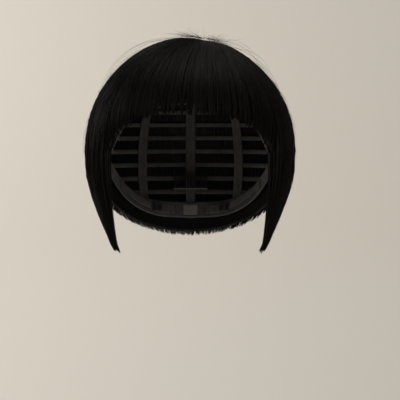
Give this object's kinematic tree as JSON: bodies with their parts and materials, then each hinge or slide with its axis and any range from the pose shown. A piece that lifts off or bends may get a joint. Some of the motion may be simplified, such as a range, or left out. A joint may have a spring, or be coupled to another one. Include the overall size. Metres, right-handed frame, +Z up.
{
  "type": "costume wig",
  "caption": "Short straight bowl-cut wig with a blunt arched fringe and pointed side locks, on a wefted cap with combs, ear tabs and nape adjusters.",
  "frame": {"origin": "centre of the head opening, level with the widest part of the wearer's head", "axes": "+Z up through the crown, -Y out of the wearer's face through the fringe, +X to the wearer's left"},
  "size_m": [0.1812, 0.2122, 0.1835],
  "materials": {
    "hair": "satin",
    "lace": "matte",
    "band": "matte",
    "elastic": "matte",
    "weft": "matte",
    "aluminium": "satin",
    "comb_steel": "satin",
    "hook_plastic": "satin",
    "label": "matte"
  },
  "bodies": {
    "cap": {"crown_cap": "lace", "front_band": "band", "side_band_left": "band", "side_band_right": "band", "nape_band": "band", "pocket_tape_left": "band", "pocket_tape_right": "band", "cap_ribbon_1": "elastic", "cap_ribbon_2": "elastic", "cap_ribbon_3": "elastic", "cap_ribbon_4": "elastic", "cap_ribbon_5": "elastic", "cap_ribbon_6": "elastic", "cap_ribbon_7": "elastic", "nape_strap_left": "elastic", "nape_strap_right": "elastic", "weft_track_1": "weft", "weft_track_2": "weft", "weft_track_3": "weft", "weft_track_4": "weft", "weft_track_5": "weft", "weft_track_6": "weft", "weft_track_7": "weft", "weft_track_8": "weft", "size_label": "label", "crown_hair": "hair", "fringe_hair": "hair", "side_hair_left": "hair", "side_hair_right": "hair", "back_hair_left": "hair", "back_hair_right": "hair", "nape_hair": "hair"},
    "temple_comb_left": {"temple_comb_left": "comb_steel"},
    "temple_comb_right": {"temple_comb_right": "comb_steel"},
    "nape_comb": {"nape_comb": "comb_steel"},
    "hook_left": {"strap_hook_left": "hook_plastic"},
    "hook_right": {"strap_hook_right": "hook_plastic"},
    "ear_tab_left": {"ear_tab_left": "band", "ear_tab_stay_left": "aluminium"},
    "ear_tab_right": {"ear_tab_right": "band", "ear_tab_stay_right": "aluminium"},
    "side_lock_left": {"side_lock_left": "hair"},
    "side_lock_right": {"side_lock_right": "hair"}
  },
  "joints": [
    {"name": "temple_comb_left_tilt", "type": "hinge", "parent": "cap", "child": "temple_comb_left", "pos_m": [0.06202, -0.03997, 0.03193], "axis": [-0.375, -0.927, 0], "range_deg": [0, 50]},
    {"name": "temple_comb_right_tilt", "type": "hinge", "parent": "cap", "child": "temple_comb_right", "pos_m": [-0.06202, -0.03997, 0.03193], "axis": [-0.375, 0.927, 0], "range_deg": [0, 50]},
    {"name": "nape_comb_tilt", "type": "hinge", "parent": "cap", "child": "nape_comb", "pos_m": [0, 0.09089, -0.02303], "axis": [1, 0, 0], "range_deg": [0, 50]},
    {"name": "hook_left_adjust", "type": "hinge", "parent": "cap", "child": "hook_left", "pos_m": [0, 0.0244, -0.039], "axis": [0, 0, 1], "range_deg": [0, 17], "deforming": ["nape_strap_left"]},
    {"name": "hook_right_adjust", "type": "hinge", "parent": "cap", "child": "hook_right", "pos_m": [0, 0.0244, -0.039], "axis": [0, 0, -1], "range_deg": [0, 17], "deforming": ["nape_strap_right"]},
    {"name": "ear_tab_left_bend", "type": "hinge", "parent": "cap", "child": "ear_tab_left", "pos_m": [0.0716, -0.03636, 0.00781], "axis": [0.3054, 0.9522, 0], "range_deg": [0, 15]},
    {"name": "ear_tab_right_bend", "type": "hinge", "parent": "cap", "child": "ear_tab_right", "pos_m": [-0.0716, -0.03636, 0.00781], "axis": [0.3054, -0.9522, 0], "range_deg": [0, 15]},
    {"name": "side_lock_left_swing", "type": "hinge", "parent": "cap", "child": "side_lock_left", "pos_m": [0.08436, -0.04049, -0.00722], "axis": [-0.3054, -0.9522, 0], "range_deg": [0, 25]},
    {"name": "side_lock_right_swing", "type": "hinge", "parent": "cap", "child": "side_lock_right", "pos_m": [-0.08436, -0.04049, -0.00722], "axis": [-0.3054, 0.9522, 0], "range_deg": [0, 25]}
  ]
}
